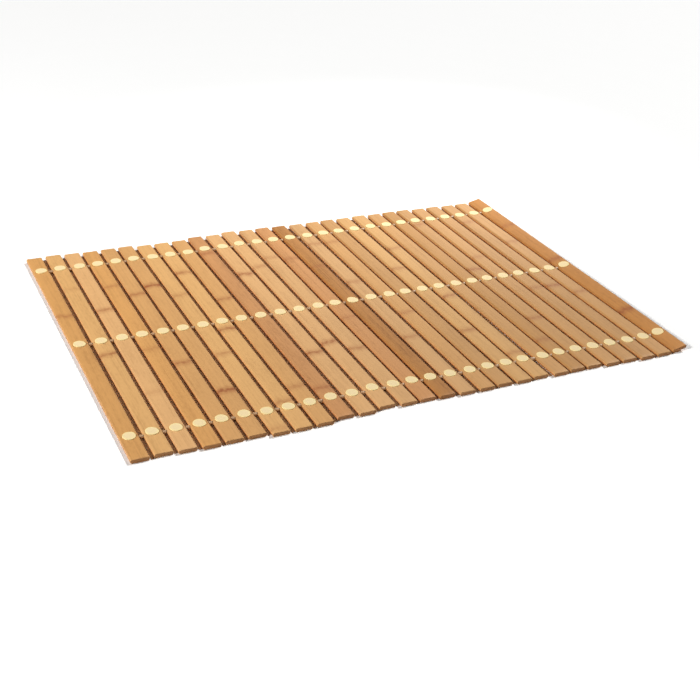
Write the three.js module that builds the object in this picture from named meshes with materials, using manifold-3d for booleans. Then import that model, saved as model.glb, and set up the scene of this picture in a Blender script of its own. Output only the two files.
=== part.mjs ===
// A slatted bamboo bath mat that lies flat. Bullnosed slats stand side by side along X, each running along Y.
// Three cords pass through drilled holes in every slat, with a bead on the cord in each gap as a spacer.
// A thin round pad is glued on top of each slat over every cord. The last slat has rolled up on its rounded edge.
// Millimetres, +Z up. The mat lies on z = 0 with the origin at the middle of its footprint.
import * as THREE from "three";
import { mergeVertices } from "three/addons/utils/BufferGeometryUtils.js";
import Module from "manifold-3d";

const wasm = await Module();
wasm.setup();

// Driving dimensions
const SLAT_LENGTH = 500;
const SLAT_WIDTH = 20.5;
const SLAT_THICKNESS = 5.2;
const BULLNOSE_RADIUS = 2.2;
const GAP = 4.65; // between two slats, on average
const CORD_ROW = 208; // outer cords, from the middle cord
const CORD_RADIUS = 1.2;
const BORE_RADIUS = 1.65;
const BEAD_RADIUS = 2.3;
const PAD_RADIUS = 7.2;
const PAD_HEIGHT = 1;
const PAD_SEAT = 0.5; // how deep the glued pad is merged into its slat
const PAD_FOLLOWS = 0.6; // the share of a slat's slide that its two outer pads make with it
const CLEARANCE = 0.3; // between a bead and the slats beside it
const CORD_END_DEPTH = 12; // how far a cord reaches into the first and the last slat
const BEND_LAP = 0.3; // by which two stretches of a bent cord pass each other at the bend

// Facets of the round shapes
const BULLNOSE_STEPS = 2;
const CORD_SIDES = 6;
const BEAD_SIDES = 8;
const PAD_SIDES = 12;

// The slats from left to right. No two lie quite alike:
// wider: how much wider than GAP the gap on the slat's left is
// shift: how far the slat has slid towards the far side
// lean: how far its far end stands to the right of its middle
// tilt: how far it has rolled up on its left edge, in degrees
const SLATS = [
  { wider: 0, shift: 1.5, lean: 1, tilt: 0 },
  { wider: 0.1, shift: 3, lean: 1, tilt: 0 },
  { wider: -0.3, shift: 1, lean: 1, tilt: 0 },
  { wider: -0.3, shift: -0.5, lean: 0.5, tilt: 0 },
  { wider: -0.2, shift: 0.5, lean: 0.5, tilt: 0 },
  { wider: -0.4, shift: 1, lean: 0, tilt: 0 },
  { wider: 0.2, shift: -3, lean: 0, tilt: 0 },
  { wider: 0, shift: -3, lean: -0.5, tilt: 0 },
  { wider: 0.1, shift: -2.5, lean: -0.5, tilt: 0 },
  { wider: 0.4, shift: 2.5, lean: -1, tilt: 0 },
  { wider: 0.8, shift: 1, lean: -1, tilt: 0 },
  { wider: 0.3, shift: 5.5, lean: -1.5, tilt: 0 },
  { wider: 0.8, shift: 3, lean: -1.5, tilt: 0 },
  { wider: -0.8, shift: 3.5, lean: -1, tilt: 0 },
  { wider: -0.4, shift: 2, lean: -0.5, tilt: 0 },
  { wider: 0.8, shift: 0.5, lean: 0, tilt: 0 },
  { wider: 1, shift: 0.5, lean: 0, tilt: 0 },
  { wider: -1.1, shift: 1.5, lean: 0, tilt: 0 },
  { wider: 0.3, shift: 0.5, lean: 0, tilt: 0 },
  { wider: 0.2, shift: 2, lean: 1.5, tilt: 0 },
  { wider: 0.9, shift: 0, lean: 0.5, tilt: 0 },
  { wider: -0.7, shift: 1, lean: 1, tilt: 0 },
  { wider: -1.2, shift: 1, lean: 1, tilt: 0 },
  { wider: 0.2, shift: -1.5, lean: 1, tilt: 0 },
  { wider: -0.3, shift: -1.5, lean: 1, tilt: 0 },
  { wider: 0.5, shift: -3.5, lean: 1, tilt: 0 },
  { wider: -0.5, shift: -3.5, lean: 0.5, tilt: 0 },
  { wider: -0.2, shift: -1.5, lean: 1, tilt: 14 },
];
const ROWS = { far: CORD_ROW, middle: 0, near: -CORD_ROW };

const bambooMaterial = new THREE.MeshStandardMaterial({ color: 0xd6a468, roughness: 0.45, metalness: 0 });
const cordMaterial = new THREE.MeshStandardMaterial({ color: 0xb89c78, roughness: 0.6, metalness: 0 });

function solidOf(geometry) {
  const bare = geometry.clone();
  bare.deleteAttribute("normal");
  bare.deleteAttribute("uv");
  const merged = mergeVertices(bare, 1e-4);
  const count = merged.attributes.position.count;
  const triVerts = merged.index ? merged.index.array : [...Array(count).keys()];
  return new wasm.Manifold(
    new wasm.Mesh({
      numProp: 3,
      vertProperties: Float32Array.from(merged.attributes.position.array),
      triVerts: Uint32Array.from(triVerts),
    }),
  );
}

function geometryOf(solid) {
  const mesh = solid.getMesh();
  const geometry = new THREE.BufferGeometry();
  geometry.setAttribute("position", new THREE.BufferAttribute(mesh.vertProperties, 3));
  geometry.setIndex(new THREE.BufferAttribute(mesh.triVerts, 1));
  geometry.computeVertexNormals();
  return geometry;
}

// A round rod along X, from one x to another
function rodAlongX(radius, sides, fromX, toX) {
  const rod = new THREE.CylinderGeometry(radius, radius, toX - fromX, sides);
  rod.rotateZ(Math.PI / 2);
  rod.translate((fromX + toX) / 2, 0, 0);
  return rod;
}

// The bar of a slat, centred on its width and length, standing on z = 0
function slatBar() {
  const half = SLAT_WIDTH / 2 - BULLNOSE_RADIUS;
  const top = SLAT_THICKNESS - BULLNOSE_RADIUS;
  const section = new THREE.Shape();
  section.absarc(half, BULLNOSE_RADIUS, BULLNOSE_RADIUS, -Math.PI / 2, 0);
  section.absarc(half, top, BULLNOSE_RADIUS, 0, Math.PI / 2);
  section.absarc(-half, top, BULLNOSE_RADIUS, Math.PI / 2, Math.PI);
  section.absarc(-half, BULLNOSE_RADIUS, BULLNOSE_RADIUS, Math.PI, 1.5 * Math.PI);
  const bar = new THREE.ExtrudeGeometry(section, {
    depth: SLAT_LENGTH,
    curveSegments: BULLNOSE_STEPS,
    bevelEnabled: false,
  });
  bar.rotateX(Math.PI / 2);
  bar.translate(0, SLAT_LENGTH / 2, 0);
  return bar;
}

function pad(x, y) {
  const disc = new THREE.CylinderGeometry(PAD_RADIUS, PAD_RADIUS, PAD_HEIGHT + PAD_SEAT, PAD_SIDES);
  disc.rotateX(Math.PI / 2);
  disc.translate(x, y, SLAT_THICKNESS + (PAD_HEIGHT - PAD_SEAT) / 2);
  return disc;
}

// Where each slat lies, from left to right: its left and right edges and the matrix that puts it there
function layOut() {
  const places = [];
  let left = 0;
  for (const [i, row] of SLATS.entries()) {
    left += i === 0 ? 0 : GAP + row.wider;
    const tilt = THREE.MathUtils.degToRad(row.tilt);
    // a slat rolls about the lower round of its left edge, so that the upper round swings out to the left
    const pivot = new THREE.Vector3(BULLNOSE_RADIUS - SLAT_WIDTH / 2, 0, BULLNOSE_RADIUS);
    const swing = Math.sin(tilt) * (SLAT_THICKNESS - 2 * BULLNOSE_RADIUS);
    const matrix = new THREE.Matrix4()
      .makeTranslation(left + swing + SLAT_WIDTH / 2, row.shift, 0)
      .multiply(new THREE.Matrix4().makeRotationZ(-Math.atan(row.lean / (SLAT_LENGTH / 2))))
      .multiply(new THREE.Matrix4().makeTranslation(pivot))
      .multiply(new THREE.Matrix4().makeRotationY(-tilt))
      .multiply(new THREE.Matrix4().makeTranslation(pivot.clone().negate()));
    places.push({ ...row, left, right: left + SLAT_WIDTH, tilt, matrix });
    left += SLAT_WIDTH;
  }
  return places;
}

// How far a leaning slat stands to the right of its own middle where a cord crosses it
function leanAt(place, y) {
  return (place.lean * (y - place.shift)) / (SLAT_LENGTH / 2);
}

// The line of a cord through the first slats, or of the hole for it if given the hole's radius
function straightStretch(radius, y, fromX, toX) {
  const rod = rodAlongX(radius, CORD_SIDES, fromX, toX);
  rod.translate(0, y, SLAT_THICKNESS / 2);
  return solidOf(rod);
}

// In the last slat a cord bends up with the slat, just inside its rounded edge
function bendX(last, y) {
  return last.left + leanAt(last, y) + BULLNOSE_RADIUS;
}

function bentStretch(radius, y, last, depth) {
  const rod = rodAlongX(radius, CORD_SIDES, -BEND_LAP, depth - BULLNOSE_RADIUS);
  rod.rotateY(-last.tilt);
  rod.translate(bendX(last, y), y, SLAT_THICKNESS / 2);
  return solidOf(rod);
}

// One cord with its beads, as one solid
function cord(places, y) {
  const last = places[places.length - 1];
  let solid = straightStretch(CORD_RADIUS, y, places[0].right - CORD_END_DEPTH, bendX(last, y) + BEND_LAP);
  solid = solid.add(bentStretch(CORD_RADIUS, y, last, CORD_END_DEPTH));
  for (let i = 1; i < places.length; i++) {
    const from = places[i - 1].right + leanAt(places[i - 1], y) + CLEARANCE;
    const to = places[i].left + leanAt(places[i], y) - CLEARANCE;
    const bead = rodAlongX(BEAD_RADIUS, BEAD_SIDES, from, to);
    bead.translate(0, y, SLAT_THICKNESS / 2);
    solid = solid.add(solidOf(bead));
  }
  return geometryOf(solid);
}

// The hole that a cord needs in a slat. It ends blind in the first and in the last slat
function bore(places, i, y) {
  const { left, right } = places[i];
  const deep = CORD_END_DEPTH + CLEARANCE;
  if (i === 0) {
    return straightStretch(BORE_RADIUS, y, right - deep, right + GAP / 2);
  }
  if (i < places.length - 1) {
    return straightStretch(BORE_RADIUS, y, left - GAP / 2, right + GAP / 2);
  }
  const mouth = straightStretch(BORE_RADIUS, y, left - GAP / 2, bendX(places[i], y) + BEND_LAP);
  return mouth.add(bentStretch(BORE_RADIUS, y, places[i], deep));
}

// A slat with its pads, in its own frame: the holes are brought into that frame before they are cut
function slat(places, i) {
  const place = places[i];
  const home = place.matrix.clone().invert();
  let solid = solidOf(slatBar());
  for (const y of Object.values(ROWS)) {
    const padShift = y === ROWS.middle ? 0 : PAD_FOLLOWS * place.shift;
    solid = solid.add(solidOf(pad(0, y + padShift - place.shift)));
    solid = solid.subtract(bore(places, i, y).transform(home.elements));
  }
  const mesh = new THREE.Mesh(geometryOf(solid), bambooMaterial);
  mesh.name = `slat_${String(i + 1).padStart(2, "0")}`;
  mesh.applyMatrix4(place.matrix);
  return mesh;
}

const mat = new THREE.Group();
const places = layOut();
places.forEach((_, i) => mat.add(slat(places, i)));
for (const [row, y] of Object.entries(ROWS)) {
  const mesh = new THREE.Mesh(cord(places, y), cordMaterial);
  mesh.name = `cord_${row}`;
  mat.add(mesh);
}

const footprint = new THREE.Box3().setFromObject(mat, true).getCenter(new THREE.Vector3());
mat.position.set(-footprint.x, -footprint.y, 0);

export default mat;
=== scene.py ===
import math
import random
from collections import namedtuple

import bmesh
import bpy
import numpy as np
from bpy.props import FloatProperty, FloatVectorProperty, IntProperty, PointerProperty
from mathutils import Matrix, Vector, noise


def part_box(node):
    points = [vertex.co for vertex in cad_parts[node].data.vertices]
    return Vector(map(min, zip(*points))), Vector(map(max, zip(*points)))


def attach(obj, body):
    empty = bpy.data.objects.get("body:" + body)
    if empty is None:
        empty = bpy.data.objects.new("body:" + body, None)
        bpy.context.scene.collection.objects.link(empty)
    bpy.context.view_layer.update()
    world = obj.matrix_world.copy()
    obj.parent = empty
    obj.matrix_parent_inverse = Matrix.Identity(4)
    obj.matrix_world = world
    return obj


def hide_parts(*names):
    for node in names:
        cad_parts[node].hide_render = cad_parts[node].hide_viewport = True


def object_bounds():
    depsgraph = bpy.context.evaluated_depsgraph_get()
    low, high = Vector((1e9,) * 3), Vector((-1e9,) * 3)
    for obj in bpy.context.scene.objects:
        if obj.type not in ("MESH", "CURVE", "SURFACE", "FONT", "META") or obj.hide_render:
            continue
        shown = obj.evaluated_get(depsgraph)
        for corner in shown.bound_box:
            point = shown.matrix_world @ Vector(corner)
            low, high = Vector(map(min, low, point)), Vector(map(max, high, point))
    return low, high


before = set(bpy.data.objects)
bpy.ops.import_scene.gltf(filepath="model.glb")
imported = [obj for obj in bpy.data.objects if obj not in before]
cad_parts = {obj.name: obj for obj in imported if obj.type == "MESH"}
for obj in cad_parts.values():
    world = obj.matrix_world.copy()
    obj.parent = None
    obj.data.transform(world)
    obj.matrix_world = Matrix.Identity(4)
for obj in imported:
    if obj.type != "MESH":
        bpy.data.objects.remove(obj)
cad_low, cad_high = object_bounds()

bl_info = {
    "name": "Slatted Bamboo Mat",
    "version": (1, 0, 0),
    "blender": (4, 5, 0),
    "location": "3D View > Sidebar > Bamboo Mat",
    "description": "A flat bath mat of bamboo slats threaded on cords, "
    "with spacer beads and round pads",
    "category": "Object",
}

MM = 0.001
ROWS = ("far", "middle", "near")

CAMERA_SENSOR = 36  # mm
CAMERA_CLIP = 0.05, 50  # nearest and furthest, in metres
FLOOR_HALF = 30  # metres, so far that its edge isn't seen
FLOOR_DROP = 0.1 * MM  # from the underside to the floor

# Where the lights are and what they are aimed at. A sun's spread and the spot's cone are in degrees
KEY_PLACE, KEY_SPREAD = (0.65, 0.2, 0.7), 6
FILL_PLACE, FILL_SPREAD = (-0.85, -0.25, 0.47), 8
SIDE_PLACE, SIDE_AIM, SIDE_WIDTH, SIDE_HEIGHT = (-1.1, 0.2, 0.42), (-0.35, 0.15, 0), 0.9, 0.15
BACK_PLACE, BACK_AIM, BACK_CONE, BACK_RADIUS = (1.2, 0.78, 1.12), (0.26, 0.42, 0), 36, 0.15

BAMBOO_IOR, SILICONE_IOR, COTTON_IOR, NYLON_IOR = 1.5, 1.41, 1.5, 1.53
JOINT_WAVE = 9 * MM  # how far the line of a cane joint wanders along the slat
LINE_REACH, SMUDGE_REACH = 4.4 * MM, 12 * MM  # how far from a joint its line and its smudge reach
JOINT_RINGS = (-6, -3, -1.5, 0, 1.5, 3, 6)  # extra rings of the mesh round a joint, in mm
SWELLING_REACH = 3  # mm, from a joint to where its swelling has fallen to about a third
PLANING_REACH = 90 * MM  # the distance over which the planed faces wander
LEAST_ROUND = 0.2 * MM  # of the long edges at the eased ends
DRILL_START = 2 * MM  # how far outside a slat a drill starts
DRILL_LAP = 0.3 * MM  # how far each stretch of a drill goes past its ends
BLIND_PLAY = 0.3 * MM  # room beyond the cord's end in a blind hole
DRILL_SIDES, CORD_SIDES, BEAD_SIDES = 20, 12, 24
CORD_STEP = 1.2 * MM  # between the rings of a cord's mesh
PAD_ROOT = 0.3 * MM  # how deep a pad is set in its slat
BEAD_ROUND = 0.7 * MM  # radius of a bead's ends
BEAD_WALL_PLAY = 0.1 * MM  # between a cord and the hole of its beads
ROUND_STEPS = (30, 60, 90)  # degrees, the corners of an eased edge
END_TOLERANCE = 0.3 * MM  # for the corners of one end face of a slat
TOP_TOLERANCE = 0.1 * MM  # for the corners of the pads' tops
FIBRE_STOPS = 0.32, 0.5, 0.68  # how uneven the cane is at its dark, middling and pale fibres
DARK_TINT = (1, 1.15, 1.3)  # the dark fibres lose the most blue and the least red
JOINT_CORE = 0.5 * MM  # half the width of a joint's darkest line
LINE_DARK, SMUDGE_DARK = 0.8, 1.25  # how dark they are on a joint of strength 1
SAWN_SHARE = 0.65  # the sawn ends' own share of their colour; the rest is the cane's
SAWN_DARK = 0.55  # what is left there of the cane's colour
WAVE_RINGS = 3.14  # the rings that a wave texture of scale 1 has in one unit, about

# The slats from left to right. tone and shade: the cane that each was cut from, and how much
# lighter or darker it is; the lower shades of the slats on the right are partly painted shade,
# which darkens that side of the mat. streaks: how strongly its fibres show. joints: where the
# cane's joints cross it, in mm from its middle towards the far end, and how dark each is
Slat = namedtuple("Slat", "tone shade streaks joints")
SLATS = [
    Slat("amber", 1.00, 0.5, [(74, 0.5)]),
    Slat("honey", 1.00, 0.4, [(141, 0.2), (-36, 0.6)]),
    Slat("straw", 1.05, 0.3, [(75, 0.55), (-132, 0.2)]),
    Slat("amber", 1.05, 0.4, [(138, 0.35), (-37, 0.3)]),
    Slat("rose", 1.00, 0.3, [(104, 0.55), (-80, 0.6)]),
    Slat("rose", 1.00, 0.3, [(122, 0.95), (-155, 0.85)]),
    Slat("honey", 1.00, 0.3, [(88, 0.35), (-73, 0.4), (-243, 0.3)]),
    Slat("honey", 1.00, 0.4, [(149, 0.6), (-17, 0.65), (-195, 0.5)]),
    Slat("rose", 1.00, 0.3, [(60, 0.5), (-171, 0.4)]),
    Slat("red", 1.00, 0.6, [(193, 0.55), (-188, 0.5)]),
    Slat("straw", 1.00, 0.3, [(116, 0.7), (-109, 0.65)]),
    Slat("straw", 1.00, 0.3, [(127, 0.4), (-97, 0.7)]),
    Slat("straw", 0.95, 0.3, [(153, 0.3), (-119, 0.5)]),
    Slat("red", 1.05, 0.5, [(138, 0.4), (-45, 0.3)]),
    Slat("brown", 1.00, 1.0, [(105, 0.35)]),
    Slat("straw", 0.90, 0.3, [(177, 0.4), (48, 0.45), (-113, 0.4)]),
    Slat("rose", 0.95, 0.3, [(176, 0.35), (-53, 0.4)]),
    Slat("rose", 0.85, 0.3, []),
    Slat("honey", 0.90, 0.3, [(66, 0.45), (-122, 0.5)]),
    Slat("honey", 0.90, 0.3, [(127, 0.4), (-32, 0.5), (-192, 0.4)]),
    Slat("rose", 0.90, 0.2, []),
    Slat("amber", 0.80, 0.4, [(-176, 0.45)]),
    Slat("rose", 0.85, 0.3, [(193, 0.4), (30, 0.6), (-122, 0.5)]),
    Slat("rose", 0.90, 0.3, [(66, 0.35)]),
    Slat("rose", 0.85, 0.3, [(-45, 0.4)]),
    Slat("rose", 0.85, 0.4, [(182, 0.4), (-44, 0.6)]),
    Slat("rose", 0.90, 0.3, [(99, 0.35), (-72, 0.45)]),
    Slat("brown", 1.20, 0.5, [(148, 0.5), (22, 0.75), (-143, 0.9)]),
]


def linear(colour):
    """An sRGB hex colour as linear red, green and blue."""
    parts = [int(colour[i : i + 2], 16) / 255 for i in (0, 2, 4)]
    return tuple(c / 12.92 if c <= 0.04045 else ((c + 0.055) / 1.055) ** 2.4 for c in parts)


def number_property(name, description, default, **more):
    """A number that the sidebar shows."""
    return FloatProperty(name=name, description=description, default=default, **more)


def angle_property(name, description, degrees):
    """An angle, which the sidebar shows in degrees."""
    return number_property(name, description, math.radians(degrees), subtype="ANGLE")


def length_property(name, description, millimetres):
    """A length that the sidebar shows in the scene's unit."""
    return number_property(name, description, millimetres * MM, unit="LENGTH", precision=5, min=0)


def colour_property(name, description, colour):
    """A colour that the sidebar shows as a swatch."""
    return FloatVectorProperty(
        name=name, description=description, subtype="COLOR", size=3, min=0, max=1,
        default=linear(colour),
    )


class SlatSettings(bpy.types.PropertyGroup):
    edge_round: length_property("Edge round", "Radius that the long edges are rounded to", 2.2)
    end_round: length_property("End round", "Radius that the sawn ends are eased to", 0.5)
    bore_radius: length_property("Bore radius", "Radius of the holes for the cords", 1.65)
    ring_step: length_property("Ring step", "Distance between the mesh rings of a slat", 6)
    planing: length_property("Planing", "How far the planed faces wander along a slat", 0.12)
    swelling: length_property("Swelling", "How far a slat's top stands up at a cane joint", 0.12)


class BambooSettings(bpy.types.PropertyGroup):
    straw: colour_property("Straw", "Colour of the palest cane", "CE9F69")
    honey: colour_property("Honey", "Colour of the yellow cane", "D0A064")
    rose: colour_property("Rose", "Colour of the pinkish cane", "C8965C")
    amber: colour_property("Amber", "Colour of the orange cane", "C79254")
    red: colour_property("Red", "Colour of the reddish cane", "BC8653")
    brown: colour_property("Brown", "Colour of the darkest cane", "A9733A")
    joint: colour_property("Joint", "Colour of the cane joints", "98592F")
    # painted shade: the colour that the sides take on towards the floor, where the gaps are in
    # shadow
    painted_shade: colour_property("Stain", "Colour of the sides towards the floor", "A2581C")
    end: colour_property("End", "Colour of the sawn ends", "9C6026")
    pore: colour_property("Pore", "Colour of the fibre bundles in the sawn ends", "6E4420")
    # how strong the painted shade on the sides is
    painted_shade_depth: number_property("Side stain", "How dark the sides are towards the floor", 0.75)
    fibre: length_property("Fibre", "Width of one fibre streak", 0.7)
    strip: length_property("Strip", "Width of the broader strips of fibres", 3)


class PadSettings(bpy.types.PropertyGroup):
    rim_round: length_property("Rim round", "Radius of the moulded rim", 0.4)
    dish: length_property("Dish", "Depth of the middle below the rim", 0.08)
    wander: length_property("Wander", "How far a pad may be glued off its place", 0.5)
    uneven: number_property("Uneven", "How far a pad's outline is from round", 0.025)
    ring: length_property("Ring", "Distance between the rings that the moulding left", 1.3)
    colour: colour_property("Colour", "Colour of the pads", "ECD5A5")
    # painted highlight: the lighter, yellower colour near the rim stands for light caught by the
    # rounded rim
    rim_highlight_colour: colour_property("Rim colour", "Colour of the pads near their rim", "F0DB98")
    sides: IntProperty(name="Sides", description="Facets round a pad", min=12, default=40)


class CordSettings(bpy.types.PropertyGroup):
    cord_radius: length_property("Cord radius", "Radius of the cords", 1.2)
    strand: length_property("Strand", "Depth of the grooves between the three strands", 0.15)
    lay: length_property("Lay", "Length in which the strands go round once", 8)
    end_depth: length_property("End depth", "How far a cord reaches into the outer slats", 12)
    bead_radius: length_property("Bead radius", "Outer radius of the spacer beads", 2.3)
    bead_play: length_property("Bead play", "Room between a bead and the slats beside it", 0.3)
    cord_colour: colour_property("Cord colour", "Colour of the cords", "A88B66")
    bead_colour: colour_property("Bead colour", "Colour of the spacer beads", "B4906C")


class StageSettings(bpy.types.PropertyGroup):
    camera_place: FloatVectorProperty(
        name="Camera place", description="Where the camera stands", subtype="TRANSLATION",
        unit="LENGTH", size=3, default=(-0.597, -1.196, 0.6751),
    )
    azimuth: angle_property("Azimuth", "Direction the camera looks in", -27.06)
    elevation: angle_property("Elevation", "Angle the camera looks down at", 28.99)
    roll: angle_property("Roll", "Angle the camera is rolled by", 3.62)
    lens: number_property("Lens", "Focal length for a 36 mm sensor, in mm", 60)
    key_strength: number_property("Key strength", "Strength of the distant key light", 2.66)
    fill_strength: number_property("Fill strength", "Strength of the low light opposite", 2.7)
    side_power: number_property("Side power", "Power of the softbox at the left", 3.5, unit="POWER")
    back_power: number_property("Back power", "Power of the light behind", 98, unit="POWER")
    sky: number_property("Sky", "Strength of the even light from all round", 0.01)
    floor: colour_property("Floor", "Colour of the floor", "FCFCFB")


GROUPS = {
    "mat_slats": SlatSettings,
    "mat_bamboo": BambooSettings,
    "mat_pads": PadSettings,
    "mat_cords": CordSettings,
    "mat_stage": StageSettings,
}


def feed(tree, sockets, values):
    """Fill input sockets with values or with other nodes' outputs."""
    for name, value in values.items():
        if isinstance(value, bpy.types.NodeSocket):
            tree.links.new(value, sockets[name])
        else:
            sockets[name].default_value = value


def add(tree, kind, inputs=None, **settings):
    """Add a node, set its properties and fill its inputs."""
    node = tree.nodes.new(kind)
    for name, value in settings.items():
        setattr(node, name, value)
    feed(tree, node.inputs, inputs or {})
    return node


def shade(name, build):
    """A new material whose principled shader gets what build makes of its node tree."""
    material = bpy.data.materials.new(name)
    material.use_nodes = True
    tree = material.node_tree
    feed(tree, tree.nodes["Principled BSDF"].inputs, build(tree))
    return material


def rgba(colour, gain=1.0):
    """A colour as the four values that a colour socket takes, made lighter or darker by gain."""
    return (*(min(c * gain, 1) for c in colour), 1)


def maths(tree, operation, a, b=0.0, clamp=False):
    """The output of an operation on one or two values."""
    node = add(tree, "ShaderNodeMath", {0: a, 1: b}, operation=operation, use_clamp=clamp)
    return node.outputs[0]


def times(tree, a, b):
    """The output of a product."""
    return maths(tree, "MULTIPLY", a, b)


def weighted(tree, parts, start=0.0):
    """The output of start plus a weighted sum of values."""
    for value, weight in parts:
        start = maths(tree, "ADD", start, times(tree, value, weight))
    return start


def blend(tree, factor, a, b):
    """The output of a mix of two colours."""
    return add(tree, "ShaderNodeMix", {"Factor": factor, 6: a, 7: b}, data_type="RGBA").outputs[2]


def object_place(tree):
    """The place on the piece, in metres in its own frame."""
    return add(tree, "ShaderNodeTexCoord").outputs["Object"]


def grain(tree, place, seed, size, detail):
    """Noise whose grains have the given size along x, y and z, from 0 to 1."""
    moved = add(
        tree, "ShaderNodeMapping",
        {
            "Vector": place,
            "Location": (seed * 3.1, seed * 1.7, seed * 2.3),
            "Scale": [1 / s for s in size],
        },
    )
    node = add(
        tree, "ShaderNodeTexNoise",
        {"Vector": moved.outputs[0], "Scale": 1.0, "Detail": detail, "Roughness": 0.55},
    )
    return node.outputs[0]


def fade(tree, value, start, end):
    """1 at start, falling smoothly to 0 at end."""
    return add(
        tree, "ShaderNodeMapRange",
        {"Value": value, "From Min": start, "From Max": end, "To Min": 1.0, "To Max": 0.0},
        interpolation_type="SMOOTHSTEP",
    ).outputs[0]


def relief(tree, height, strength):
    """The normal of a surface with a fine relief, whose height is in metres."""
    inputs = {"Strength": strength, "Distance": 1.0, "Height": height}
    return add(tree, "ShaderNodeBump", inputs).outputs[0]


def cane_tone(slat):
    """The colour of the cane that a slat was cut from, times the slat's shade, which on the
    right-hand slats is partly painted shade.
    """
    return [c * slat.shade for c in getattr(bpy.context.scene.mat_bamboo, slat.tone)]


def fibre_colour(tree, uneven, tone, depth):
    """Dark, middling and pale fibres; depth is how far the dark ones are from the cane's tone."""
    ramp = add(tree, "ShaderNodeValToRGB", {"Fac": uneven})
    dark, pale = ramp.color_ramp.elements
    dark.position, middling, pale.position = FIBRE_STOPS
    dark.color = (*(c * (1 - k * depth) for c, k in zip(tone, DARK_TINT)), 1)
    pale.color = rgba(tone, 1 + 0.4 * depth)
    ramp.color_ramp.elements.new(middling).color = rgba(tone)
    return ramp.outputs[0]


def lacquered_bamboo(number, slat):
    """Planed and lacquered bamboo: straight pale and dark fibres, a brown smudge at each cane
    joint, a soft shine from the thin lacquer, and painted shade on the sides towards the floor."""
    colours = bpy.context.scene.mat_bamboo
    seed = number * 7.0

    def build(tree):
        place = object_place(tree)
        apart = add(tree, "ShaderNodeSeparateXYZ", {0: place})
        fibres = grain(tree, place, seed, (colours.fibre, 45 * MM, colours.fibre), 4.0)
        strips = grain(tree, place, seed + 1, (colours.strip, 220 * MM, colours.strip), 2.0)
        clouds = grain(tree, place, seed + 2, (22 * MM, 85 * MM, 22 * MM), 2.0)
        flecks = grain(tree, place, seed + 5, (2.5 * MM, 7 * MM, 2.5 * MM), 3.0)
        # each kind of streak has its share in how dark or pale a spot is
        uneven = weighted(tree, ((fibres, 0.25), (strips, 0.3), (clouds, 0.2), (flecks, 0.25)))
        colour = fibre_colour(tree, uneven, cane_tone(slat), 0.14 + 0.3 * slat.streaks)

        # each cane joint is a wavy line and a wider smudge, both broken up by patches
        wave = grain(tree, place, seed + 3, (7 * MM, 400 * MM, 7 * MM), 1.0)
        along = weighted(tree, [(wave, JOINT_WAVE)], apart.outputs["Y"])
        patches = grain(tree, place, seed + 4, (5 * MM, 4 * MM, 5 * MM), 2.0)
        height = times(tree, fibres, 0.04 * MM)
        for y, strength in slat.joints:
            away = maths(tree, "SUBTRACT", along, y * MM + JOINT_WAVE / 2)
            away = maths(tree, "ABSOLUTE", away)
            line = times(tree, fade(tree, away, JOINT_CORE, LINE_REACH), LINE_DARK * strength)
            smudge = fade(tree, away, JOINT_CORE, SMUDGE_REACH)
            smudge = times(tree, smudge, SMUDGE_DARK * strength)
            both = maths(tree, "ADD", line, smudge)
            mark = maths(tree, "MULTIPLY", both, patches, clamp=True)
            colour = blend(tree, mark, colour, rgba(colours.joint))
            height = weighted(tree, [(line, -0.08 * MM)], height)

        # painted shade: the sides are darker towards the floor, where the gaps between the slats
        # lie in shadow
        half = places[number - 1].width / 2
        beside = fade(tree, maths(tree, "ABSOLUTE", apart.outputs["X"]), half, half - 0.6 * MM)
        low = fade(tree, apart.outputs["Z"], -0.8 * MM, 1.6 * MM)
        painted_shade = times(tree, times(tree, beside, low), colours.painted_shade_depth)
        return {
            "Base Color": blend(tree, painted_shade, colour, rgba(colours.painted_shade)),
            "Roughness": weighted(tree, [(fibres, 0.16)], 0.48),
            "Normal": relief(tree, height, 0.6),
            "IOR": BAMBOO_IOR,
            "Coat Weight": 0.08,
            "Coat Roughness": 0.45,
        }

    return shade(f"lacquered_bamboo_{number:02d}", build)


def sawn_bamboo(number, slat):
    """The sawn end of a slat: darker because the cut fibres soak up the lacquer, with a fine dark
    dot for each bundle of fibres."""
    colours = bpy.context.scene.mat_bamboo
    tones = zip(colours.end, cane_tone(slat))
    base = [SAWN_SHARE * end + (1 - SAWN_SHARE) * SAWN_DARK * cane for end, cane in tones]

    def build(tree):
        place = object_place(tree)
        clouds = grain(tree, place, number * 5.0, (5 * MM, 5 * MM, 2 * MM), 2.0)
        bundles = add(tree, "ShaderNodeTexVoronoi", {"Vector": place, "Scale": 1 / (0.8 * MM)})
        dark = times(tree, fade(tree, bundles.outputs["Distance"], 0.1, 0.5), 0.5)
        colour = blend(tree, times(tree, clouds, 0.8), rgba(base, 1.15), rgba(base, 0.7))
        return {
            "Base Color": blend(tree, dark, colour, rgba(colours.pore)),
            "Roughness": weighted(tree, [(clouds, 0.15)], 0.55),
            "IOR": BAMBOO_IOR,
        }

    return shade(f"sawn_bamboo_{number:02d}", build)


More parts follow.
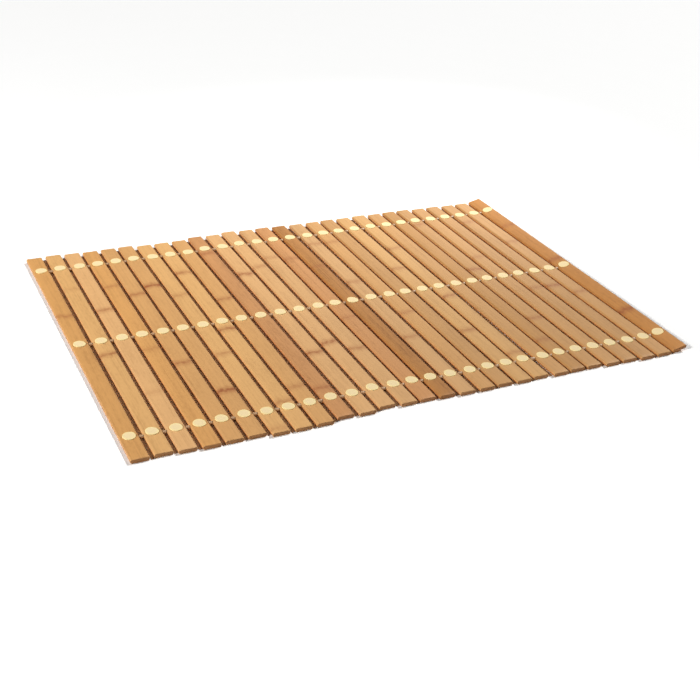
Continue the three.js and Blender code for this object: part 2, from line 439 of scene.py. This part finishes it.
def cast_silicone():
    """Silicone cast in small round moulds: even cream, a dull shine, faint rings from the mould,
    and a painted highlight that makes the rim lighter.
    """
    pads = bpy.context.scene.mat_pads
    ring_count = pad_size()[0] / pads.ring

    def build(tree):
        place = object_place(tree)
        face = add(tree, "ShaderNodeUVMap", uv_map="pad_face").outputs[0]
        rings = add(
            tree, "ShaderNodeTexWave",
            {
                "Vector": face, "Scale": ring_count / WAVE_RINGS,
                "Distortion": 1.6, "Detail": 1.0, "Detail Scale": 2.0,
            },
            wave_type="RINGS", rings_direction="SPHERICAL",
        ).outputs["Fac"]
        clouds = grain(tree, place, 2.0, [9 * MM] * 3, 2.0)
        batch = grain(tree, place, 5.0, [70 * MM] * 3, 0.0)
        out = add(tree, "ShaderNodeVectorMath", {0: face}, operation="LENGTH").outputs["Value"]
        # painted highlight: the pads turn lighter and yellower towards their rim, as if the rim
        # caught the light
        rim = fade(tree, out, 0.95, 0.6)
        colour = rgba(pads.colour)
        for cause, weight, tint in (
            (clouds, 0.5, rgba(pads.colour, 0.9)),
            (rings, 0.22, rgba(pads.colour, 0.82)),
            (batch, 0.25, rgba(pads.colour, 0.94)),
            (rim, 0.6, rgba(pads.rim_highlight_colour)),
        ):
            colour = blend(tree, times(tree, cause, weight), colour, tint)
        return {
            "Base Color": colour,
            "Roughness": weighted(tree, [(clouds, 0.12)], 0.42),
            "Normal": relief(tree, times(tree, rings, 0.05 * MM), 0.7),
            "IOR": SILICONE_IOR,
        }

    return shade("cast_silicone", build)


def twisted_cotton():
    """Cord of three twisted cotton strands: dull, with fine fibres along each strand."""
    tone = bpy.context.scene.mat_cords.cord_colour

    def build(tree):
        fibres = grain(tree, object_place(tree), 1.0, (1.2 * MM, 0.3 * MM, 0.3 * MM), 3.0)
        return {
            "Base Color": blend(tree, fibres, rgba(tone, 0.7), rgba(tone, 1.15)),
            "Roughness": 0.85,
            "Normal": relief(tree, times(tree, fibres, 0.1 * MM), 0.8),
            "IOR": COTTON_IOR,
        }

    return shade("twisted_cotton", build)


def moulded_bead():
    """Beads of moulded nylon: pale and slightly milky, with a soft shine and faint flow marks."""
    tone = bpy.context.scene.mat_cords.bead_colour

    def build(tree):
        flow = grain(tree, object_place(tree), 4.0, (3 * MM, 1.5 * MM, 1.5 * MM), 2.0)
        return {
            "Base Color": blend(tree, flow, rgba(tone, 0.85), rgba(tone, 1.1)),
            "Roughness": weighted(tree, [(flow, 0.15)], 0.35),
            "IOR": NYLON_IOR,
        }

    return shade("moulded_bead", build)


def painted_floor():
    """A pale matt studio floor, smooth enough that only its tint shows."""
    tone = bpy.context.scene.mat_stage.floor

    def build(tree):
        clouds = grain(tree, object_place(tree), 0.0, (0.6, 0.6, 0.6), 2.0)
        return {
            "Base Color": blend(tree, times(tree, clouds, 0.1), rgba(tone), rgba(tone, 0.97)),
            "Roughness": 0.7,
        }

    return shade("painted_floor", build)


class Place:
    """Where a slat of the frame lies, and its section. x runs across it, y along it and z up from
    its middle."""

    def __init__(self, node):
        corners = [v.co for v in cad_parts[node].data.vertices]
        points = np.unique(np.array(corners).round(6), axis=0)
        ends = []
        for side in (1, -1):
            furthest = (points[:, 1] * side).max()
            ends.append(points[points[:, 1] * side > furthest - END_TOLERANCE])
        far, near = (Vector((e.max(0) + e.min(0)) / 2) for e in ends)
        along = (far - near).normalized()
        # the end face is wider than it is thick, so that its corners spread most across the slat
        across = Vector(np.linalg.svd(ends[0] - ends[0].mean(0))[2][0])
        across = (across if across.x > 0 else -across).normalized()
        up = across.cross(along).normalized()
        turn = Matrix((across, along, up)).transposed()
        self.matrix = Matrix.Translation((far + near) / 2) @ turn.to_4x4()
        self.home = self.matrix.inverted()
        end = np.array([self.home @ Vector(p) for p in ends[0]])
        self.width, _, self.thickness = end.max(0) - end.min(0)
        self.length = (far - near).length
        local = np.array([self.home @ Vector(p) for p in points])
        self.top = local[:, 2].max()
        crown = local[local[:, 2] > self.top - TOP_TOLERANCE]
        fifth = self.length / 5
        pads = [
            crown[crown[:, 1] > fifth], crown[abs(crown[:, 1]) < fifth], crown[crown[:, 1] < -fifth]
        ]
        middles = [(p.max(0) + p.min(0)) / 2 for p in pads]
        self.pads = [Vector((x, y, self.thickness / 2)) for x, y, _ in middles]
        self.pad_radius = np.hypot(*(pads[0] - middles[0])[:, :2].T).max()

    def own_y(self, y, z):
        """How far along the slat a cord with that y and z passes it."""
        return (self.home @ Vector((self.matrix.translation.x, y, z))).y

    def edge(self, side, y):
        """How far left (-1) or right (1) the slat reaches where a cord at that y passes it."""
        round_ = bpy.context.scene.mat_slats.edge_round
        own = self.own_y(y, self.matrix.translation.z)
        out, up = self.width / 2 - round_, self.thickness / 2 - round_
        rounds = [(self.matrix @ Vector((side * out, own, z))).x for z in (-up, up)]
        return side * (max(side * x for x in rounds) + round_)


places = [Place(f"slat_{i + 1:02d}") for i in range(len(SLATS))]


def pad_size():
    """Radius and height of the pads on the frame's slats."""
    return places[0].pad_radius, places[0].top - places[0].thickness / 2


def cord_line(row):
    """The points that a cord follows: straight through the slats, then up with the last one."""
    cords = bpy.context.scene.mat_cords
    low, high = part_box(f"cord_{row}")
    middle = places[0].matrix.translation.z
    y = (low.y + high.y) / 2
    last = places[-1]
    own = last.own_y(y, middle)
    inside = bpy.context.scene.mat_slats.edge_round
    bend = last.matrix @ Vector((inside - last.width / 2, own, 0))
    bend = Vector((bend.x, y, middle))
    end = bend + last.matrix.to_3x3() @ Vector((cords.end_depth - inside, 0, 0))
    start = Vector((places[0].edge(1, y) - cords.end_depth, y, middle))
    return start, bend, end


def finish_piece(mesh, materials, replaced=()):
    """Put a mesh in the scene as a piece that rides on the mat."""
    piece = bpy.data.objects.new(mesh.name, mesh)
    bpy.context.scene.collection.objects.link(piece)
    for material in materials:
        mesh.materials.append(material)
    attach(piece, "root")
    if replaced:
        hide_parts(*replaced)
    return piece


def smooth(mesh, degrees=35):
    """Shade a mesh smooth except where its faces meet at more than that angle."""
    mesh.shade_smooth()
    mesh.set_sharp_from_angle(angle=math.radians(degrees))


def bridge(shape, rings):
    """Join each ring of corners to the next with faces, and list these."""
    faces = []
    for before, after in zip(rings, rings[1:]):
        for i, corner in enumerate(before):
            j = (i + 1) % len(before)
            faces.append(shape.faces.new((corner, before[j], after[j], after[i])))
    return faces


def mesh_of(shape, name):
    """The finished shape as a mesh."""
    mesh = bpy.data.meshes.new(name)
    shape.to_mesh(mesh)
    shape.free()
    return mesh


def quarter_round(steps):
    """Points on a quarter of a unit circle: how far in each is, and how far it is from the top."""
    for degrees in steps:
        yield 1 - math.cos(math.radians(degrees)), 1 - math.sin(math.radians(degrees))


def rounded_section(width, thickness, radius, steps=7):
    """The outline of a slat across its length, with both long edges rounded, as x and z."""
    outline = []
    for side, height, start in ((1, -1, -90), (1, 1, 0), (-1, 1, 90), (-1, -1, 180)):
        x, z = side * (width / 2 - radius), height * (thickness / 2 - radius)
        for i in range(steps + 1):
            angle = math.radians(start + 90 * i / steps)
            outline.append((x + radius * math.cos(angle), z + radius * math.sin(angle)))
    return outline


def slat_rings(place, joints):
    """The places along a slat where its mesh has a ring, each with how far the ring is drawn in."""
    slats = bpy.context.scene.mat_slats
    ease, half = slats.end_round, place.length / 2
    count = round(place.length / slats.ring_step)
    stops = set(np.linspace(ease - half, half - ease, count).round(5))
    for y, _ in joints:
        stops |= {round((y + away) * MM, 5) for away in JOINT_RINGS}
    body = [(y, 0.0) for y in sorted(stops) if abs(y) <= half - ease]
    eased = [(half - ease * up, ease * inwards) for inwards, up in quarter_round(ROUND_STEPS)]
    return [(-y, inset) for y, inset in reversed(eased)] + body + eased


def slat_mesh(number, place, joints):
    """A slat with planed faces that wander a little, low swellings at its joints and eased ends."""
    slats = bpy.context.scene.mat_slats
    shape = bmesh.new()
    rings = []
    for y, inset in slat_rings(place, joints):
        wander = noise.noise(Vector((y / PLANING_REACH, number * 3.7, 0))) * slats.planing
        rise = slats.swelling * sum(
            strength * math.exp(-(((y / MM - at) / SWELLING_REACH) ** 2)) for at, strength in joints
        )
        outline = rounded_section(
            place.width - 2 * inset + wander, place.thickness - 2 * inset,
            max(slats.edge_round - inset, LEAST_ROUND),
        )
        rings.append([shape.verts.new((x, y, z + (rise if z > 0 else 0))) for x, z in outline])
    bridge(shape, rings)
    for ring in (rings[0], rings[-1][::-1]):
        shape.faces.new(ring).material_index = 1
    bmesh.ops.recalc_face_normals(shape, faces=shape.faces)
    return mesh_of(shape, "slat_blank")


def bore_mesh(place, number):
    """The drills for a slat's three cord holes, as one mesh in the slat's own frame."""
    radius = bpy.context.scene.mat_slats.bore_radius
    shape = bmesh.new()
    for row in ROWS:
        start, bend, end = cord_line(row)
        left = Vector((place.edge(-1, bend.y) - DRILL_START, bend.y, bend.z))
        right = Vector((place.edge(1, bend.y) + DRILL_START, bend.y, bend.z))
        if number == 1:
            left.x = start.x - BLIND_PLAY
        if number == len(SLATS):
            stretches = [(left, bend), (bend, end)]
        else:
            stretches = [(left, right)]
        for a, b in stretches:
            a, b = place.home @ a, place.home @ b
            way = (b - a).normalized()
            turn = way.to_track_quat("Z", "Y").to_matrix().to_4x4()
            bmesh.ops.create_cone(
                shape, cap_ends=True, segments=DRILL_SIDES, radius1=radius, radius2=radius,
                depth=(b - a).length + 2 * DRILL_LAP, matrix=Matrix.Translation((a + b) / 2) @ turn,
            )
    return mesh_of(shape, "bores")


def drilled(mesh, drills):
    """The mesh with the drills cut away."""
    body = bpy.data.objects.new("body", mesh)
    cutter = bpy.data.objects.new("cutter", drills)
    for thing in (body, cutter):
        bpy.context.scene.collection.objects.link(thing)
    cut = body.modifiers.new("drill", "BOOLEAN")
    cut.object, cut.operation, cut.solver, cut.use_self = cutter, "DIFFERENCE", "EXACT", True
    graph = bpy.context.evaluated_depsgraph_get()
    result = bpy.data.meshes.new_from_object(body.evaluated_get(graph))
    if len(result.vertices) <= len(mesh.vertices):
        raise RuntimeError("the cord holes were not cut in a slat")
    bpy.data.meshes.remove(mesh)
    bpy.data.meshes.remove(drills)
    return result


class MAT_OT_camera(bpy.types.Operator):
    """Set up the camera that the mat was photographed with"""

    bl_idname = "bamboo_mat.camera"
    bl_label = "Camera"

    def execute(self, context):
        stage = context.scene.mat_stage
        data = bpy.data.cameras.new("camera")
        data.lens, data.sensor_width = stage.lens, CAMERA_SENSOR
        data.clip_start, data.clip_end = CAMERA_CLIP
        camera = bpy.data.objects.new("camera", data)
        context.scene.collection.objects.link(camera)
        turn = (
            Matrix.Rotation(stage.azimuth, 4, "Z")
            @ Matrix.Rotation(math.pi / 2 - stage.elevation, 4, "X")
            @ Matrix.Rotation(stage.roll, 4, "Z")
        )
        camera.matrix_world = Matrix.Translation(stage.camera_place) @ turn
        context.scene.camera = camera
        return {"FINISHED"}


class MAT_OT_slats(bpy.types.Operator):
    """Make the drilled bamboo slats where the frame has them"""

    bl_idname = "bamboo_mat.slats"
    bl_label = "Slats"

    def execute(self, context):
        for number, (place, slat) in enumerate(zip(places, SLATS), 1):
            mesh = drilled(slat_mesh(number, place, slat.joints), bore_mesh(place, number))
            mesh.name = f"bamboo_slat_{number:02d}"
            smooth(mesh)
            finishes = lacquered_bamboo(number, slat), sawn_bamboo(number, slat)
            piece = finish_piece(mesh, finishes, [f"slat_{number:02d}"])
            piece.matrix_world = place.matrix
            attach(piece, "root")
        return {"FINISHED"}


class MAT_OT_pads(bpy.types.Operator):
    """Glue the round pads on the slats, one row over each cord"""

    bl_idname = "bamboo_mat.pads"
    bl_label = "Pads"

    def execute(self, context):
        finish = cast_silicone()
        for index, row in enumerate(ROWS):
            luck = random.Random(index)
            shape = bmesh.new()
            layer = shape.loops.layers.uv.new("pad_face")
            for place in places:
                self.add_pad(shape, layer, place, index, luck)
            mesh = mesh_of(shape, f"pads_{row}")
            smooth(mesh, 50)
            finish_piece(mesh, [finish])
        return {"FINISHED"}

    def profile(self):
        """Half the section of a pad, from its root over the rim to the dished middle."""
        pads = bpy.context.scene.mat_pads
        radius, height = pad_size()
        rim = pads.rim_round
        points = [(radius, -PAD_ROOT), (radius, height - rim)]
        points += [
            (radius - rim * inwards, height - rim * up)
            for inwards, up in quarter_round(ROUND_STEPS)
        ]
        # the face dips a little behind the rim, then to the full depth of the dish
        points += [(radius - 2.2 * rim, height - 0.3 * pads.dish)]
        return points + [(radius * share, height - pads.dish) for share in (0.7, 0.35)]

    def add_pad(self, shape, layer, place, index, luck):
        """Add a pad, a little out of round and off its place, with its face laid out flat."""
        pads = bpy.context.scene.mat_pads
        radius = pad_size()[0]
        wander = Vector((luck.uniform(-1, 1), luck.uniform(-1, 1), 0)) * pads.wander
        at = place.matrix @ Matrix.Translation(place.pads[index] + wander)
        spin = luck.uniform(0, math.tau)
        turns = [math.tau * i / pads.sides for i in range(pads.sides)]
        round_way = [
            Vector((math.cos(a + spin), math.sin(a + spin), 0))
            * (1 + pads.uneven * (math.sin(2 * a) + 0.6 * math.sin(3 * a + spin)))
            for a in turns
        ]
        rings = [
            [shape.verts.new(at @ (way * r + Vector((0, 0, z)))) for way in round_way]
            for r, z in self.profile()
        ]
        faces = bridge(shape, rings)
        faces += [shape.faces.new(rings[-1]), shape.faces.new(rings[0][::-1])]
        back = at.inverted()
        for face in faces:
            for loop in face.loops:
                own = back @ loop.vert.co
                loop[layer].uv = own.x / radius, own.y / radius


class MAT_OT_cords(bpy.types.Operator):
    """Thread the twisted cords and the spacer beads between the slats"""

    bl_idname = "bamboo_mat.cords"
    bl_label = "Cords and beads"

    def execute(self, context):
        cord_finish, bead_finish = twisted_cotton(), moulded_bead()
        for row in ROWS:
            mesh = self.cord_mesh(row)
            smooth(mesh, 60)
            finish_piece(mesh, [cord_finish], [f"cord_{row}"])
            mesh = self.bead_mesh(row)
            smooth(mesh, 50)
            finish_piece(mesh, [bead_finish])
        return {"FINISHED"}

    def cord_mesh(self, row):
        """A tube with three lobes that wind round it."""
        cords = bpy.context.scene.mat_cords
        start, bend, end = cord_line(row)
        shape = bmesh.new()
        rings, gone = [], 0.0
        angles = [math.tau * i / CORD_SIDES for i in range(CORD_SIDES)]
        for a, b in ((start, bend), (bend, end)):
            aside = Vector((0, 1, 0))
            up = aside.cross((b - a).normalized()) * -1
            count = max(2, round((b - a).length / CORD_STEP))
            # the first stretch leaves the ring at the bend to the second
            for k in range(count + (b is end)):
                at = a.lerp(b, k / count)
                turn = (gone + (at - a).length) / cords.lay * math.tau
                ring = []
                for angle in angles:
                    groove = 0.5 - 0.5 * math.cos(3 * (angle - turn))
                    r = cords.cord_radius - cords.strand * groove
                    corner = at + aside * r * math.cos(angle) + up * r * math.sin(angle)
                    ring.append(shape.verts.new(corner))
                rings.append(ring)
            gone += (b - a).length
        bridge(shape, rings)
        shape.faces.new(rings[0][::-1])
        shape.faces.new(rings[-1])
        bmesh.ops.recalc_face_normals(shape, faces=shape.faces)
        return mesh_of(shape, f"twisted_cord_{row}")

    def bead_mesh(self, row):
        """The beads of one row: short round tubes with rounded ends, one in each gap."""
        cords = bpy.context.scene.mat_cords
        _, line, _ = cord_line(row)
        hole, outer = cords.cord_radius + BEAD_WALL_PLAY, cords.bead_radius
        angles = [math.tau * i / BEAD_SIDES for i in range(BEAD_SIDES)]
        shape = bmesh.new()
        for left, right in zip(places, places[1:]):
            a = left.edge(1, line.y) + cords.bead_play
            b = right.edge(-1, line.y) - cords.bead_play
            half = (b - a) / 2
            profile = [(-half, hole)]
            profile += [
                (-half + BEAD_ROUND * inwards, outer - BEAD_ROUND * up)
                for inwards, up in quarter_round((0, *ROUND_STEPS))
            ]
            profile += [(-x, r) for x, r in reversed(profile)]
            middle = Vector(((a + b) / 2, line.y, line.z))
            rings = [
                [
                    shape.verts.new(middle + Vector((x, r * math.cos(angle), r * math.sin(angle))))
                    for angle in angles
                ]
                for x, r in profile
            ]
            bridge(shape, rings + rings[:1])
        bmesh.ops.recalc_face_normals(shape, faces=shape.faces)
        return mesh_of(shape, f"beads_{row}")


class MAT_OT_stage(bpy.types.Operator):
    """Lay a pale floor under the mat and light it softly"""

    bl_idname = "bamboo_mat.stage"
    bl_label = "Stage"

    def execute(self, context):
        stage = context.scene.mat_stage
        shape = bmesh.new()
        bmesh.ops.create_grid(shape, x_segments=1, y_segments=1, size=FLOOR_HALF)
        mesh = mesh_of(shape, "floor")
        mesh.materials.append(painted_floor())
        floor = bpy.data.objects.new("floor", mesh)
        floor.location.z = cad_low.z - FLOOR_DROP
        context.scene.collection.objects.link(floor)
        for name, strength, place, spread in (
            ("key_light", stage.key_strength, KEY_PLACE, KEY_SPREAD),
            ("fill_light", stage.fill_strength, FILL_PLACE, FILL_SPREAD),
        ):
            sun = bpy.data.lights.new(name, "SUN")
            sun.energy, sun.angle = strength, math.radians(spread)
            self.hang(sun, place)
        side = bpy.data.lights.new("side_light", "AREA")
        side.energy, side.shape = stage.side_power, "RECTANGLE"
        side.size, side.size_y = SIDE_WIDTH, SIDE_HEIGHT
        self.hang(side, SIDE_PLACE, SIDE_AIM)
        back = bpy.data.lights.new("back_light", "SPOT")
        back.energy, back.shadow_soft_size = stage.back_power, BACK_RADIUS
        back.spot_size, back.spot_blend = math.radians(BACK_CONE), 1.0
        self.hang(back, BACK_PLACE, BACK_AIM)
        world = bpy.data.worlds.new("studio")
        world.use_nodes = True
        sky = world.node_tree.nodes["Background"]
        sky.inputs["Color"].default_value = (1, 1, 1, 1)
        sky.inputs["Strength"].default_value = stage.sky
        context.scene.world = world
        context.scene.view_settings.view_transform = "Standard"
        return {"FINISHED"}

    def hang(self, data, place, aim=(0, 0, 0)):
        """Put a light at a place and turn it to what it lights."""
        light = bpy.data.objects.new(data.name, data)
        light.location = place
        light.rotation_euler = (Vector(aim) - Vector(place)).to_track_quat("-Z", "Y").to_euler()
        bpy.context.scene.collection.objects.link(light)


OPERATORS = (MAT_OT_camera, MAT_OT_cords, MAT_OT_slats, MAT_OT_pads, MAT_OT_stage)


class MAT_PT_panel(bpy.types.Panel):
    """The mat's pieces and their settings"""

    bl_idname = "MAT_PT_panel"
    bl_label = "Bamboo Mat"
    bl_space_type = "VIEW_3D"
    bl_region_type = "UI"
    bl_category = "Bamboo Mat"

    def draw(self, context):
        for operator in OPERATORS:
            self.layout.operator(operator.bl_idname)
        for name, group in GROUPS.items():
            box = self.layout.box()
            box.label(text=group.__name__.removesuffix("Settings"))
            settings = getattr(context.scene, name)
            for setting in group.__annotations__:
                box.prop(settings, setting)


def register():
    """Make the settings, operators and panel known to Blender."""
    for name, group in GROUPS.items():
        bpy.utils.register_class(group)
        setattr(bpy.types.Scene, name, PointerProperty(type=group))
    for operator in OPERATORS:
        bpy.utils.register_class(operator)
    bpy.utils.register_class(MAT_PT_panel)


def unregister():
    """Take them away again."""
    bpy.utils.unregister_class(MAT_PT_panel)
    for operator in reversed(OPERATORS):
        bpy.utils.unregister_class(operator)
    for name, group in reversed(GROUPS.items()):
        delattr(bpy.types.Scene, name)
        bpy.utils.unregister_class(group)


def main():
    """Make the whole mat, camera first."""
    register()
    for operator in OPERATORS:
        family, name = operator.bl_idname.split(".")
        getattr(getattr(bpy.ops, family), name)()


if __name__ == "__main__":
    main()
